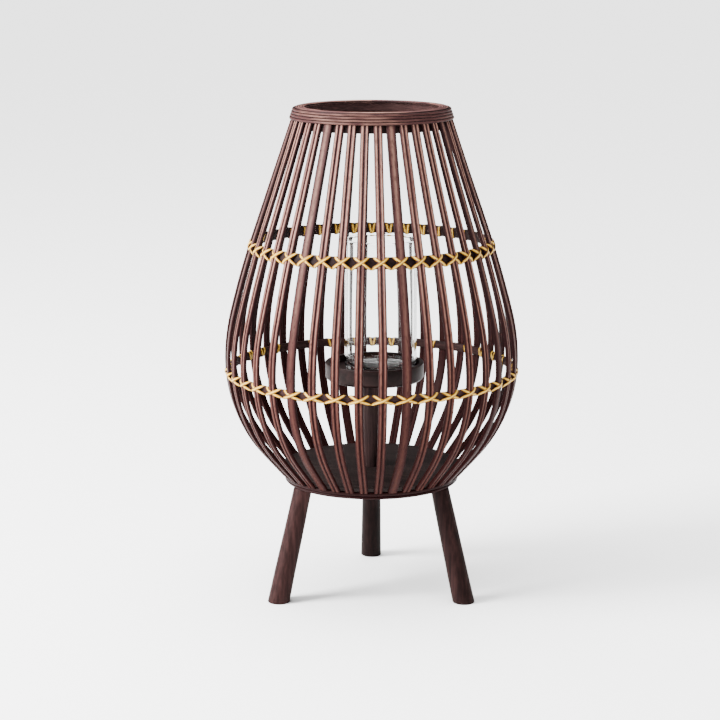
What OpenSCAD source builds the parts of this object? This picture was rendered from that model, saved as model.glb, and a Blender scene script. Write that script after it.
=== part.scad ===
// Floor lantern of bamboo splints on three legs, with a glass cylinder that lifts out.
// Millimetres. +Z is up, the origin is on the floor under the middle, and -Y is the front.
// The splints follow one profile: four arcs and lines that meet smoothly, measured on their
// outer face. Everything that touches the splints takes its place from that profile.

/* [Cage] */
// Height of the top of the rim above the floor
total_h = 560; // [460:5:640]
// Radius of the splints' outer face at the widest point
belly_r = 167.4; // [155:0.5:205]
// Height of the widest point above the floor
belly_z = 272; // [262:1:290]
// Radius of the profile's arc just above the widest point
near_arc_r = 240; // [200:5:290]
// Lean of the splints, from upright, at the end of that arc
near_lean = 14.3; // [12:0.1:16]
// Radius of the flatter arc above it
far_arc_r = 1250; // [900:10:1500]
// Lean of the straight splint ends under the rim
top_lean = 18.9; // [17.5:0.1:21]
// Radius of the profile's arc below the widest point
low_arc_r = 162; // [150:1:170]
// Lean of the straight splint ends at the base
low_lean = 41.5; // [38:0.1:43]

/* [Splints] */
// Places round the cage that hold a splint or a pair
rib_count = 40; // [35:5:45]
// One place in this many holds a single wide splint
wide_every = 5; // [5:5:10]
// Place of the first wide splint
first_wide = 1; // [0:1:4]
// Turn of the first place from the front
rib_turn = 4.3; // [0:0.1:9]
// Thickness of every splint
splint_t = 3.2; // [2.4:0.1:4]
// Width of a narrow splint
splint_w = 4.4; // [3.2:0.1:5]
// Gap between the two narrow splints of a pair
pair_gap = 0.6; // [0.3:0.1:1]
// Width of a wide splint
wide_w = 10.2; // [8:0.1:11.2]

/* [Rim] */
// Thickness of the flat coil that closes the top of the rim
coil_t = 2.6; // [2:0.1:3.5]
// Strands side by side in the flat coil
coil_turns = 4; // [3:1:5]
// Width of one strand of the flat coil
coil_w = 2.85; // [2.3:0.05:3.2]
// Turns of the strand wound round the outside of the rim
wrap_turns = 4; // [3:1:5]
// Height of one turn of the outside strand
wrap_w = 3.4; // [2.6:0.1:4]
// Thickness of the outside strand
wrap_t = 2.3; // [1.6:0.1:3]
// Height of each of the two bands inside the splints
rim_band_h = 9.7; // [6:0.1:12]
// Thickness of the two bands inside the splints
rim_band_t = 3.6; // [2.4:0.1:4.5]

/* [Hoops and lashing] */
// Height of the middle of the upper hoop
upper_hoop_z = 403.4; // [380:0.2:425]
// Height of the middle of the lower hoop
lower_hoop_z = 259.4; // [240:0.2:275]
// Height of the upper hoop's band
upper_hoop_h = 12.2; // [9:0.1:15]
// Height of the lower hoop's band
lower_hoop_h = 9.2; // [8:0.1:13]
// Thickness of each hoop's band
hoop_t = 3; // [2:0.1:4]
// Width of the cane lashing
cane_w = 3; // [2:0.1:3.6]
// Thickness of the cane lashing
cane_t = 0.9; // [0.6:0.1:1.3]
// Space between the two strands where they pass over a hoop's top edge
cane_spread = 5.4; // [4.4:0.1:7]

/* [Base board] */
// Height of the board's top face
board_top_z = 145.5; // [143:0.5:150]
// Thickness of the board
board_t = 14.5; // [13.5:0.5:18]
// Height of the upper of the two strands round the board's edge
edge_upper_h = 4.8; // [3:0.1:5]
// Height of the lower strand
edge_lower_h = 3.8; // [2.5:0.1:4.2]
// Thickness of both strands round the edge
edge_t = 3.4; // [2.4:0.1:4]
// How far the lower strand stands in from the upper one
edge_step = 1.5; // [0.5:0.1:2]

/* [Legs] */
// Diameter of a leg where it meets the board
leg_top_d = 20.5; // [16:0.5:24]
// Diameter of a leg at the floor
leg_foot_d = 24.5; // [18:0.5:28]
// Distance from the middle to the centre of each foot
foot_r = 122.5; // [105:0.5:150]
// How far a leg's top stands in from the board's lower edge
leg_inset = 0; // [-2:0.5:10]

/* [Post and tray] */
// Diameter of the post
post_d = 21; // [18:0.5:30]
// Height of the tray's rim
tray_top_z = 268; // [255:1:290]
// Height of the tray from its underside to its rim
tray_h = 20; // [18:0.5:26]
// Outside radius of the tray
tray_r = 56.5; // [52:0.5:70]
// Depth of the recess that holds the glass
recess_depth = 8; // [4:0.5:9]
// Thickness of the wall round the recess
tray_wall = 5; // [3:0.5:6]
// Bevel round the tray's lower edge
tray_bevel = 3; // [1:0.5:5]
// How far the tray sits to the right of the post
tray_shift = 3.6; // [0:0.2:5]

/* [Glass] */
// Outside radius of the glass cylinder
glass_r = 41.2; // [34:0.2:45]
// Height of the glass cylinder
glass_h = 150.2; // [120:1:165]
// Wall of the glass cylinder
glass_wall = 2.6; // [2:0.1:4]
// Thickness of the glass bottom
glass_floor = 5; // [3:0.5:8]
// Round of the glass's lower edge
glass_round = 4; // [2.5:0.5:5]
// How far the glass stands to the right of the tray's middle
glass_shift = 6.9; // [0:0.1:9]

/* [Dowels] */
// Diameter of the dowels that join the legs, the post and the tray
dowel_d = 8; // [6:0.5:9]
// Depth of a dowel in a leg or in the post
dowel_deep = 22; // [14:1:30]
// Depth of a dowel in the board or in the tray
dowel_shallow = 8; // [5:0.5:9]

/* [Hidden] */
// Space round a dowel
dowel_fit = 0.05;
// Space left past a dowel's ends
dowel_end_gap = 1;
// Space between glued faces
glue_gap = 0.1;
// Space between a straight face and the splints' curve
curve_gap = 0.2;
// Space between the glass and the tray it stands on
seat_gap = 0.3;
// Reach past a face so that a cut goes right through it
over = 1;
// Width of the strands inside a hoop, as a share of the cane's own
inside_share = 0.8;
// Share of its own height by which one turn of a strand overlaps the next
strand_lap = 0.08;
// Angle between the points of a strand's rounded face
strand_step = 30;
// Spacing of the points on each arc of the profile
near_steps = 5;
far_steps = 6;
low_steps = 10;
// Points on the glass's rounded edges
round_steps = 5;
round_fn = 96;

// Where the profile's arcs begin and end, on the splints' outer face
near_end = [belly_r - near_arc_r * (1 - cos(near_lean)), belly_z + near_arc_r * sin(near_lean)];
far_end = [near_end[0] - far_arc_r * (cos(near_lean) - cos(top_lean)),
           near_end[1] + far_arc_r * (sin(top_lean) - sin(near_lean))];
near_centre = [belly_r - near_arc_r, belly_z];
far_centre = near_end - far_arc_r * [cos(near_lean), sin(near_lean)];
low_centre = [belly_r - low_arc_r, belly_z];
low_end = low_centre + low_arc_r * [cos(low_lean), -sin(low_lean)];

// Radius, at height z, of the face that lies depth inside the splints' outer face
function face_r(z, depth = 0) =
    z >= far_centre[1] + (far_arc_r - depth) * sin(top_lean)
        ? far_end[0] - (z - far_end[1]) * tan(top_lean) - depth / cos(top_lean)
    : z >= far_centre[1] + (far_arc_r - depth) * sin(near_lean)
        ? far_centre[0] + sqrt(pow(far_arc_r - depth, 2) - pow(z - far_centre[1], 2))
    : z >= belly_z
        ? near_centre[0] + sqrt(pow(near_arc_r - depth, 2) - pow(z - belly_z, 2))
    : z >= belly_z - (low_arc_r - depth) * sin(low_lean)
        ? low_centre[0] + sqrt(pow(low_arc_r - depth, 2) - pow(belly_z - z, 2))
    : low_end[0] - (low_end[1] - z) * tan(low_lean) - depth / cos(low_lean);

// Lean of the splints at height z: above the widest point it is positive
function lean_at(z) = atan2(face_r(z - over) - face_r(z + over), 2 * over);

// Points of an arc of the profile, from one lean to another
function arc_points(centre, r, from, to, steps) =
    [for (i = [0:steps]) centre + r * [cos(from + (to - from) * i / steps),
                                       sin(from + (to - from) * i / steps)]];

// One face of a splint, from its top end to its bottom end
function splint_face(depth) = concat(
    [[face_r(splint_top_z, depth), splint_top_z]],
    arc_points(far_centre, far_arc_r - depth, top_lean, near_lean, far_steps),
    arc_points(near_centre, near_arc_r - depth, near_lean, 0, near_steps),
    [for (p = arc_points(low_centre, low_arc_r - depth, 0, -low_lean, low_steps)) if (p[1] < belly_z - 1) p],
    [[face_r(splint_low_z, depth), splint_low_z]]);

function flip(points) = [for (i = [len(points) - 1:-1:0]) points[i]];

// Half-round section of a cane strand: flat on the left, w tall and t thick
function strand_section(w, t) =
    [for (a = [0:strand_step:180]) [t * sin(a), w / 2 * cos(a)]];

rib_pitch = 360 / rib_count;
splint_top_z = total_h - coil_t - glue_gap;
board_low_z = board_top_z - board_t;
edge_low_z = board_low_z + edge_lower_h + glue_gap;
splint_low_z = edge_low_z + edge_upper_h + 2 * glue_gap;

wrap_pitch = wrap_w * (1 - strand_lap);
wrap_top_z = splint_top_z + coil_t - wrap_t / 2 - wrap_w / 2 * cos(top_lean);
coil_pitch = coil_w * (1 - strand_lap);
coil_out_r = face_r(total_h) + curve_gap - glue_gap;
rim_band_top_z = splint_top_z - glue_gap;

edge_r = face_r(splint_low_z, splint_t) - glue_gap;
edge_seat_r = edge_r - edge_t * 2 / 3;
edge_lower_seat_r = edge_seat_r - edge_step;

leg_top_r = edge_lower_seat_r + edge_t - leg_top_d / 2 - leg_inset;
leg_splay = atan2(foot_r - leg_top_r, board_low_z);
leg_len = norm([foot_r - leg_top_r, board_low_z]);
leg_turns = [-60, 60, 180];

tray_low_z = tray_top_z - tray_h;
tray_floor_z = tray_top_z - recess_depth;
recess_r = tray_r - tray_wall;
glass_low_z = tray_floor_z + seat_gap;

function is_wide(i) = i % wide_every == first_wide;
function two_digits(n) = n < 10 ? str("0", n) : str(n);
function rib_name(i) = str(is_wide(i) ? "wide_splint_" : "splint_pair_", two_digits(i + 1));

// Turns its children from the front, by angle, towards +X
module at_turn(angle) {
    rotate([0, 0, angle - 90]) children();
}

// A straight-sided strip cut to the splints' profile
module splint(w) {
    rotate([90, 0, 0])
        linear_extrude(height = w, center = true)
            polygon(concat(splint_face(0), flip(splint_face(splint_t))));
}

module rib(i) {
    color(is_wide(i) ? "rosybrown" : "tan")
        at_turn(rib_turn + i * rib_pitch)
            if (is_wide(i)) {
                splint(wide_w);
            } else {
                for (side = [-1, 1])
                    translate([0, side * (splint_w + pair_gap) / 2, 0]) splint(splint_w);
            }
}

// The strand wound round the outside of the splints' top ends
module rim_wrap() {
    color("sienna")
        rotate_extrude($fn = round_fn)
            for (i = [0:wrap_turns - 1]) {
                z = wrap_top_z - i * wrap_pitch * cos(top_lean);
                translate([face_r(z, -curve_gap), z])
                    rotate(top_lean)
                        polygon(strand_section(wrap_w, wrap_t));
            }
}

// The flat coil that lies on the splints' ends and on the inner bands
module rim_coil() {
    color("peru")
        rotate_extrude($fn = round_fn)
            for (i = [0:coil_turns - 1])
                translate([coil_out_r - coil_w / 2 - i * coil_pitch, total_h - coil_t])
                    rotate(90)
                        polygon(strand_section(coil_w, coil_t));
}

// A band that follows the splints from low_z to top_z, lying depth inside their outer face
module band(low_z, top_z, depth, t) {
    rotate_extrude($fn = round_fn)
        polygon([[face_r(low_z, depth), low_z], [face_r(top_z, depth), top_z],
                 [face_r(top_z, depth + t), top_z], [face_r(low_z, depth + t), low_z]]);
}

module rim_band_upper() {
    color("saddlebrown")
        band(rim_band_top_z - rim_band_h, rim_band_top_z, splint_t + glue_gap, rim_band_t);
}

module rim_band_lower() {
    low_z = rim_band_top_z - 2 * rim_band_h - glue_gap;
    color("saddlebrown")
        band(low_z, low_z + rim_band_h, splint_t + glue_gap, rim_band_t);
}

module hoop(z, h) {
    color("saddlebrown")
        band(z - h / 2, z + h / 2, splint_t + curve_gap, hoop_t);
}

// A flat bar of cane between two points of a plane
module cane_bar(from, to, w) {
    way = to - from;
    side = w / 2 * [-way[1], way[0]] / norm(way);
    polygon([from + side, from - side, to - side, to + side]);
}

// Cane lashing of one hoop: a cross over each splint, a strap under the hoop between two
// splints, two straps over its top edge, and two strands down its inside
module lashing(z, h) {
    lean = lean_at(z);
    edge = h / 2 + curve_gap;
    reach = (edge + cane_t) / cos(lean);
    set_back = reach * sin(lean);
    out_r = face_r(z, -curve_gap);
    in_r = face_r(z, splint_t + hoop_t + 2 * curve_gap) - cane_t;
    half_gap = (out_r + cane_t / 2) * tan(rib_pitch / 2);
    spread = cane_spread / 2;
    // A plate that leans with the splints, its inner face at radius r
    module leaning(r) {
        translate([r, 0, z])
            rotate([0, -lean, 0])
                rotate([90, 0, 90])
                    linear_extrude(height = cane_t) children();
    }
    // A level strap across the hoop's edge, from the inner plate to the outer one
    module strap(offset, low, shift) {
        translate([in_r + shift, offset - cane_w / 2, low])
            cube([out_r - in_r + cane_t, cane_w, cane_t]);
    }
    color("goldenrod")
        for (i = [0:rib_count - 1]) {
            at_turn(rib_turn + i * rib_pitch)
                leaning(out_r)
                    for (side = [-1, 1])
                        cane_bar([-side * half_gap, -reach], [side * (half_gap - spread), reach], cane_w);
            at_turn(rib_turn + (i + 0.5) * rib_pitch) {
                leaning(in_r)
                    for (side = [-1, 1])
                        cane_bar([0, -reach], [side * spread, reach], cane_w * inside_share);
                strap(0, z - edge - cane_t, set_back);
                for (side = [-1, 1])
                    strap(side * spread, z + edge, -set_back);
            }
        }
}

// The round board, bevelled where the splints are glued to it, with two steps for the strands
module base_board() {
    color("dimgray")
        difference() {
            rotate_extrude($fn = round_fn)
                polygon([[0, board_low_z], [edge_lower_seat_r, board_low_z],
                         [edge_lower_seat_r, edge_low_z - glue_gap / 2],
                         [edge_seat_r, edge_low_z - glue_gap / 2],
                         [edge_seat_r, splint_low_z - glue_gap / 2],
                         [edge_r, splint_low_z - glue_gap / 2],
                         [face_r(board_top_z, splint_t) - glue_gap, board_top_z],
                         [0, board_top_z]]);
            leg_dowel_places() dowel(dowel_fit, dowel_end_gap);
            translate([0, 0, board_top_z]) dowel(dowel_fit, dowel_end_gap);
        }
}

// A strand round the board's edge, its flat face at radius r
module edge_strand(low_z, h, r) {
    color("saddlebrown")
        rotate_extrude($fn = round_fn)
            translate([r + glue_gap, low_z + h / 2])
                polygon(strand_section(h, edge_t));
}

// A dowel that crosses the plane z = 0: the long end is up. Both ends reach further by more.
module dowel(fit, more) {
    translate([0, 0, -dowel_shallow - more])
        cylinder(h = dowel_deep + dowel_shallow + 2 * more, r = dowel_d / 2 + fit, $fn = round_fn);
}

// Carries its children to the top of one leg, with their +Z down along the leg
module leg_top(turn) {
    at_turn(turn)
        translate([leg_top_r, 0, board_low_z])
            rotate([0, 180 - leg_splay, 0]) children();
}

module leg_dowel_places() {
    for (turn = leg_turns)
        leg_top(turn) children();
}

module leg_dowels() {
    color("burlywood")
        leg_dowel_places() dowel(0, 0);
}

// A tapered leg, cut level at the floor and under the board
module leg(turn) {
    slope = (leg_foot_d - leg_top_d) / leg_len;
    color("rosybrown")
        difference() {
            intersection() {
                leg_top(turn)
                    translate([0, 0, -leg_top_d])
                        cylinder(h = leg_len + 2 * leg_top_d, d1 = leg_top_d * (1 - slope),
                                 d2 = leg_foot_d + leg_top_d * slope, $fn = round_fn);
                translate([0, 0, (board_low_z - glue_gap) / 2])
                    cube([4 * foot_r, 4 * foot_r, board_low_z - glue_gap], center = true);
            }
            leg_top(turn) dowel(dowel_fit, dowel_end_gap);
        }
}

module post() {
    color("rosybrown")
        difference() {
            translate([0, 0, board_top_z + glue_gap])
                cylinder(h = tray_low_z - board_top_z - 2 * glue_gap, d = post_d, $fn = round_fn);
            translate([0, 0, board_top_z]) dowel(dowel_fit, dowel_end_gap);
            translate([0, 0, tray_low_z]) mirror([0, 0, 1]) dowel(dowel_fit, dowel_end_gap);
        }
}

module post_dowels() {
    color("burlywood") {
        translate([0, 0, board_top_z]) dowel(0, 0);
        translate([0, 0, tray_low_z]) mirror([0, 0, 1]) dowel(0, 0);
    }
}

// A turned tray with a shallow recess for the glass, set a little to the right of the post
module tray() {
    color("dimgray")
        difference() {
            translate([tray_shift, 0, 0])
                rotate_extrude($fn = round_fn)
                    polygon([[0, tray_low_z], [tray_r - tray_bevel, tray_low_z],
                             [tray_r, tray_low_z + tray_bevel], [tray_r, tray_top_z],
                             [recess_r, tray_top_z], [recess_r, tray_floor_z], [0, tray_floor_z]]);
            translate([0, 0, tray_low_z]) mirror([0, 0, 1]) dowel(dowel_fit, dowel_end_gap);
        }
}

// A plain glass cylinder with a thick bottom and a rounded lip, standing to the right in the tray
module glass_cylinder() {
    lip = glass_wall / 2;
    top_z = glass_low_z + glass_h;
    inner_r = glass_r - glass_wall;
    inner_round = glass_round - glass_wall / 2;
    color("lightcyan", 0.4)
        translate([tray_shift + glass_shift, 0, 0])
            rotate_extrude($fn = round_fn)
                polygon(concat(
                    [[0, glass_low_z]],
                    arc_points([glass_r - glass_round, glass_low_z + glass_round],
                               glass_round, -90, 0, round_steps),
                    arc_points([glass_r - lip, top_z - lip], lip, 0, 180, 2 * round_steps),
                    arc_points([inner_r - inner_round, glass_low_z + glass_floor + inner_round],
                               inner_round, 0, -90, round_steps),
                    [[0, glass_low_z + glass_floor]]));
}

rim_wrap();
rim_coil();
rim_band_upper();
rim_band_lower();
hoop(upper_hoop_z, upper_hoop_h);  // upper_hoop
hoop(lower_hoop_z, lower_hoop_h);  // lower_hoop
lashing(upper_hoop_z, upper_hoop_h);  // upper_lashing
lashing(lower_hoop_z, lower_hoop_h);  // lower_lashing
base_board();
edge_strand(edge_low_z, edge_upper_h, edge_seat_r);  // edge_strand_upper
edge_strand(board_low_z, edge_lower_h, edge_lower_seat_r);  // edge_strand_lower
leg(leg_turns[0]);  // leg_left
leg(leg_turns[1]);  // leg_right
leg(leg_turns[2]);  // leg_back
leg_dowels();
post();
post_dowels();
tray();
glass_cylinder();
for (i = [0:rib_count - 1])
    rib(i);
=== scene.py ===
"""Bamboo splint floor lantern with a lift-out glass cylinder, on a pale floor in soft light."""
import math
import random

import bpy
from mathutils import Matrix, Vector


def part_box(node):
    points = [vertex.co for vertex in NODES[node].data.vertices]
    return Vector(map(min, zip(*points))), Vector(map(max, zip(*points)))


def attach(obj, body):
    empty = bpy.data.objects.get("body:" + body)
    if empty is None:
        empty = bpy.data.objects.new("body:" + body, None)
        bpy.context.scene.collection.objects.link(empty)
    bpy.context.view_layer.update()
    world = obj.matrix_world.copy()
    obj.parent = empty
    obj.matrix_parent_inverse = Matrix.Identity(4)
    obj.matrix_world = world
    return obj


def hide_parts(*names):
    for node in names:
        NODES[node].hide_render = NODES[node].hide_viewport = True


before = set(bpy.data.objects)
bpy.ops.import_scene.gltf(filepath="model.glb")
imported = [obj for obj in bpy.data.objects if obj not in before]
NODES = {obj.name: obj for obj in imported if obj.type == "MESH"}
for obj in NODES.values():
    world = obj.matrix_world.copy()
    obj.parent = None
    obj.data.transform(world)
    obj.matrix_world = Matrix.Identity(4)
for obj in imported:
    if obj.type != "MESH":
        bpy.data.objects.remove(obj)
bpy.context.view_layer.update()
MM = 0.001
QUARTER = math.pi / 2
TURN = 2 * math.pi

# Faces round the large turned pieces and the glass, round the legs and post, and round a
# strand's section, and the steps of a ring
ROUND_SIDES = 144
GLASS_SIDES = 192
ROD_SIDES = 64
SECTION_SIDES = 12
RING_STEPS = 160

# Splints: cuts along them, how far their outer and inner edges are rounded, and the height of
# the crown along the middle of their outer face
SPLINT_CUTS = 56
NARROW_ROUND = 1.15 * MM
WIDE_ROUND = 0.9 * MM
INNER_ROUND = 0.45 * MM
NARROW_CROWN = 0.15 * MM
WIDE_CROWN = 0.3 * MM
# Gap left between the two splints of a pair
SPLINT_JOINT = 0.12 * MM
# How far a splint strays from its line, and over what length
SPLINT_WAVER = 0.9 * MM
WAVER_LENGTH = 0.11

# A splint's grain map: the length that one unit stands for, the part of a unit that the width
# takes up, and what is added to the length on the inner face, to tell it from the outer one
GRAIN_UNIT = 0.1
GRAIN_SHARE = 0.8
INNER_SIDE = 100.0
# Step across the map from one splint of a pair to the other, so that their grain differs
TWIN_STEP = 500.0
# Lengths along a splint, in units of the map, where the painted shade towards its lower end begins and is
# deepest
PAINTED_SHADE_START = 1.0
PAINTED_SHADE_END = 4.4
# How far the colour has turned to its deepest at a splint's lower end, as painted shade
PAINTED_SHADE_DEPTH = 0.895

# Rim: strands on its outside and on its top, the outside ones' thickness and their distance
# from the splints, and how much wider than their share the strands are, being pressed together
WRAP_TURNS = 4
COIL_TURNS = 4
WRAP_T = 2.3 * MM
WRAP_GAP = 0.2 * MM
WRAP_PRESS = 1.01
COIL_PRESS = 1.03
# Edge strands: the gap between a strand's two ends, and where it is
SEAM_GAP = 0.25 * MM
SEAM_PLACE = -QUARTER + math.radians(3.2)

# Cane lashing: a strand's width, thickness and distance from what it binds, and its step along
# the hoop where it climbs behind it
CANE_W = 3.7 * MM
CANE_T = 0.75 * MM
CANE_GAP = 0.15 * MM
CANE_SPREAD = 3.3 * MM
# How much higher the middle of a strand is than its edges
CANE_CROWN = 0.125 * MM
# Height at which the strands cross over a splint, as a share of the hoop's half height
UPPER_CROSS = 0.16
LOWER_CROSS = -0.04
# Length of cane that one unit of its grain map stands for
CANE_GRAIN_UNIT = 0.01

# Part of the edge strands' inner radius that the board's dowel holes lie within
HOLES_WITHIN = 0.96

# Cuts along a leg and along the post, which let them waver
LEG_CUTS = 14
POST_CUTS = 10

# Glass: its wall, the thickness of its bottom, and the curves of its foot, outside and inside
GLASS_WALL = 2.2 * MM
GLASS_BOTTOM = 5.0 * MM
GLASS_FOOT = 4.0 * MM
GLASS_INNER_FOOT = 7.0 * MM
# The lip is this much rounder than the wall is thick
GLASS_LIP = 0.25 * MM
# Heights of the rings along the wall, down from the top, and up from the underside
GLASS_NECK = (30 * MM, 5 * MM, 2.6 * MM)
GLASS_WAIST = 20 * MM
# The underside is pushed up, so the glass stands on a ring: (radius, height) in millimetres
GLASS_UNDERSIDE = ((3, 1.3), (14, 1.15), (25, 0.75), (32, 0.3), (35.5, 0.05))
# The bottom dips towards its middle inside: (radius, dip) in millimetres
GLASS_DIP = ((25, 0.35), (14, 0.8), (3, 1.0))

# Studio. The floor lies just under the feet and runs on to the horizon
FLOOR_R = 2000.0
FLOOR_DROP = 0.2 * MM
WORLD_LIGHT = 0.35
LIT_POINT = (0, 0, 0.30)
SOFT_PLACE = (-0.3, 0.2, 3.0)
SOFT_POWER = 9.0
SOFT_SPREAD = math.radians(80)
KEY_PLACE = (-2.80, -1.00, 2.0)
KEY_POWER = 630
KEY_SIZE = (1.4, 1.8)
CAMERA_DISTANCE = 2.360
CAMERA_HEIGHT = 0.763
CAMERA_DOWN = math.radians(11.81)
CAMERA_LEFT = math.radians(0.319)
CAMERA_LENS = 105.05
CAMERA_SENSOR = 36


# ---------------------------------------------------------------- sizes from the frame

def polar(node):
    """(radius, height) of each corner of a CAD node."""
    return [(math.hypot(v.co.x, v.co.y), v.co.z) for v in NODES[node].data.vertices]


def radii_of(node):
    """Smallest and largest radius of a CAD node, from its own corners."""
    radii = [r for r, z in polar(node)]
    return min(radii), max(radii)


def outline_of(node, from_radius=0.0):
    """The different (radius, height) corners of a turned CAD node, beyond a radius."""
    found = {(round(r, 5), round(z, 5)) for r, z in polar(node) if r > from_radius}
    return sorted(found, key=lambda p: (p[1], p[0]))


def place_angle(node):
    """Direction from the middle to a CAD node, as an angle from +X."""
    lo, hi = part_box(node)
    return math.atan2(lo.y + hi.y, lo.x + hi.x)


def splint_faces(node):
    """(outer, inner) profiles of a splint, each a list of (radius, height) from its top end."""
    turn = place_angle(node)
    out = Vector((math.cos(turn), math.sin(turn), 0))
    side = Vector((-out.y, out.x, 0))
    mesh = NODES[node].data
    profiles = (set(), set())
    for face in mesh.polygons:
        if abs(face.normal.dot(side)) > 0.3 or abs(face.normal.z) > 0.9:
            continue
        found = profiles[0] if face.normal.dot(out) > 0 else profiles[1]
        for i in face.vertices:
            co = mesh.vertices[i].co
            found.add((round(co.dot(out), 5), round(co.z, 5)))
    return [sorted(p, key=lambda q: -q[1]) for p in profiles]


def at_height(profile, z):
    """Radius of a profile at a height."""
    for (r0, z0), (r1, z1) in zip(profile, profile[1:]):
        if z1 <= z <= z0:
            return r0 + (r1 - r0) * (z0 - z) / (z0 - z1)
    return profile[-1][0]


PAIRS = sorted(n for n in NODES if n.startswith("splint_pair"))
WIDES = sorted(n for n in NODES if n.startswith("wide_splint"))
PLACES = len(PAIRS) + len(WIDES)
PLACE_STEP = TURN / PLACES
OUTER, INNER = splint_faces(WIDES[0])
MIDDLE = [((a[0] + b[0]) / 2, (a[1] + b[1]) / 2) for a, b in zip(OUTER, INNER)]


def width_of(node):
    """Width of a splint or of a pair, across its place."""
    turn = place_angle(node)
    across = [v.co.y * math.cos(turn) - v.co.x * math.sin(turn) for v in NODES[node].data.vertices]
    return max(across) - min(across)


# ---------------------------------------------------------------- modelling helpers

def clear():
    """Leaves edit mode and deselects everything."""
    if bpy.context.mode != "OBJECT":
        bpy.ops.object.mode_set(mode="OBJECT")
    bpy.ops.object.select_all(action="DESELECT")


def only(obj):
    """Selects one object, and nothing else."""
    clear()
    obj.select_set(True)
    bpy.context.view_layer.objects.active = obj


def edit_all():
    """Enters edit mode with the whole mesh selected."""
    bpy.ops.object.mode_set(mode="EDIT")
    bpy.ops.mesh.select_all(action="SELECT")


def leave_edit():
    bpy.ops.object.mode_set(mode="OBJECT")


def pick(obj, test):
    """Selects, in edit mode, the edges whose two ends pass a test."""
    bpy.ops.mesh.select_mode(type="EDGE")
    bpy.ops.mesh.select_all(action="DESELECT")
    leave_edit()
    mesh = obj.data
    for e in mesh.edges:
        a, b = (mesh.vertices[i].co for i in e.vertices)
        e.select = test(a, b)
    bpy.ops.object.mode_set(mode="EDIT")


def settle(name, scale=None):
    """Names the new active object and puts its place, turn and scale into its mesh."""
    obj = bpy.context.view_layer.objects.active
    only(obj)
    if scale:
        obj.scale = scale
    bpy.ops.object.transform_apply(location=True, rotation=True, scale=True)
    obj.name = name
    obj.data.name = name
    return obj


def smooth(obj, degrees=32):
    """Shades a piece smooth, except across edges sharper than an angle."""
    only(obj)
    bpy.ops.object.shade_smooth_by_angle(angle=math.radians(degrees))


def modify(obj, kind, **settings):
    """Adds a modifier and applies it."""
    only(obj)
    m = obj.modifiers.new(kind.lower(), kind)
    for key, value in settings.items():
        setattr(m, key, value)
    bpy.ops.object.modifier_apply(modifier=m.name)


def copy_of(obj, name, matrix):
    """A moved or turned copy of a piece, with its own mesh."""
    twin = obj.copy()
    twin.data = obj.data.copy()
    bpy.context.scene.collection.objects.link(twin)
    twin.name = name
    twin.data.name = name
    twin.data.transform(matrix)
    return twin


def discard(obj):
    bpy.data.objects.remove(obj)


def join(objs, name):
    clear()
    for o in objs:
        o.select_set(True)
    bpy.context.view_layer.objects.active = objs[0]
    bpy.ops.object.join()
    objs[0].name = name
    objs[0].data.name = name
    return objs[0]


def closed(obj):
    """Merges doubled points and turns every face outwards."""
    only(obj)
    edit_all()
    bpy.ops.mesh.remove_doubles(threshold=0.02 * MM)
    bpy.ops.mesh.normals_make_consistent(inside=False)
    leave_edit()


def ease(obj, width, segments, degrees):
    """Rounds the edges that are sharper than an angle."""
    modify(obj, "BEVEL", width=width, segments=segments, limit_method="ANGLE",
           angle_limit=math.radians(degrees))


def turned(name, outline, sides=ROUND_SIDES):
    """A solid turned on the axis: outline runs from the rim of its bottom face to its end face."""
    clear()
    r, z = outline[0]
    bpy.ops.mesh.primitive_circle_add(vertices=sides, radius=r, fill_type="NGON", location=(0, 0, z))
    obj = settle(name)
    edit_all()
    for next_r, next_z in outline[1:]:
        bpy.ops.mesh.extrude_region_move(TRANSFORM_OT_translate={"value": (0, 0, next_z - z)})
        bpy.ops.transform.resize(value=(next_r / r, next_r / r, 1), center_override=(0, 0, next_z))
        r, z = next_r, next_z
    leave_edit()
    closed(obj)
    return obj


def spin_round(obj, gap_angle=0.0):
    """Spins a flat section round the axis, into a whole ring or into one with a gap."""
    edit_all()
    if not gap_angle:
        bpy.ops.mesh.delete(type="ONLY_FACE")
        bpy.ops.mesh.select_all(action="SELECT")
    bpy.ops.mesh.spin(steps=RING_STEPS, angle=TURN - gap_angle, center=(0, 0, 0), axis=(0, 0, 1))
    leave_edit()


def ring(name, r, z, half_t, half_w, lean=0.0, gap=0.0, start=0.0):
    """A strand bent into a ring: half_t is measured outwards and half_w upwards before the lean.

    gap is left between its two ends, and start is the direction that the first of them is in."""
    clear()
    bpy.ops.mesh.primitive_circle_add(vertices=SECTION_SIDES, radius=1, fill_type="NGON",
                                      location=(r, 0, z), rotation=(QUARTER, -lean, 0))
    obj = settle(name, (half_t, half_w, 1))
    spin_round(obj, gap / r)
    obj.data.transform(Matrix.Rotation(start, 4, "Z"))
    closed(obj)
    return obj


def band(name, node, edge):
    """A flat band bent into a hoop, with its edges eased: its section is the CAD node's."""
    section = outline_of(node)
    low, top = section[:2], section[-2:]
    clear()
    bpy.ops.mesh.primitive_plane_add(size=2)
    obj = settle(name)
    corners = (low[0], low[1], top[0], top[1])
    for v, (r, z) in zip(obj.data.vertices, corners):
        v.co = (r, 0, z)
    spin_round(obj)
    closed(obj)
    ease(obj, width=edge, segments=2, degrees=40)
    return obj


def waver(obj, strength, size):
    """Makes a piece as uneven as split and bent wood is: strength is how far its surface moves,
    and size is the length over which that changes."""
    clouds = bpy.data.textures.get(f"clouds_{size}") or bpy.data.textures.new(f"clouds_{size}", "CLOUDS")
    clouds.noise_scale = size
    clouds.noise_depth = 1
    clouds.cloud_type = "COLOR"
    modify(obj, "DISPLACE", texture=clouds, texture_coords="LOCAL", direction="RGB_TO_XYZ",
           space="LOCAL", strength=strength, mid_level=0.5)


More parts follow.
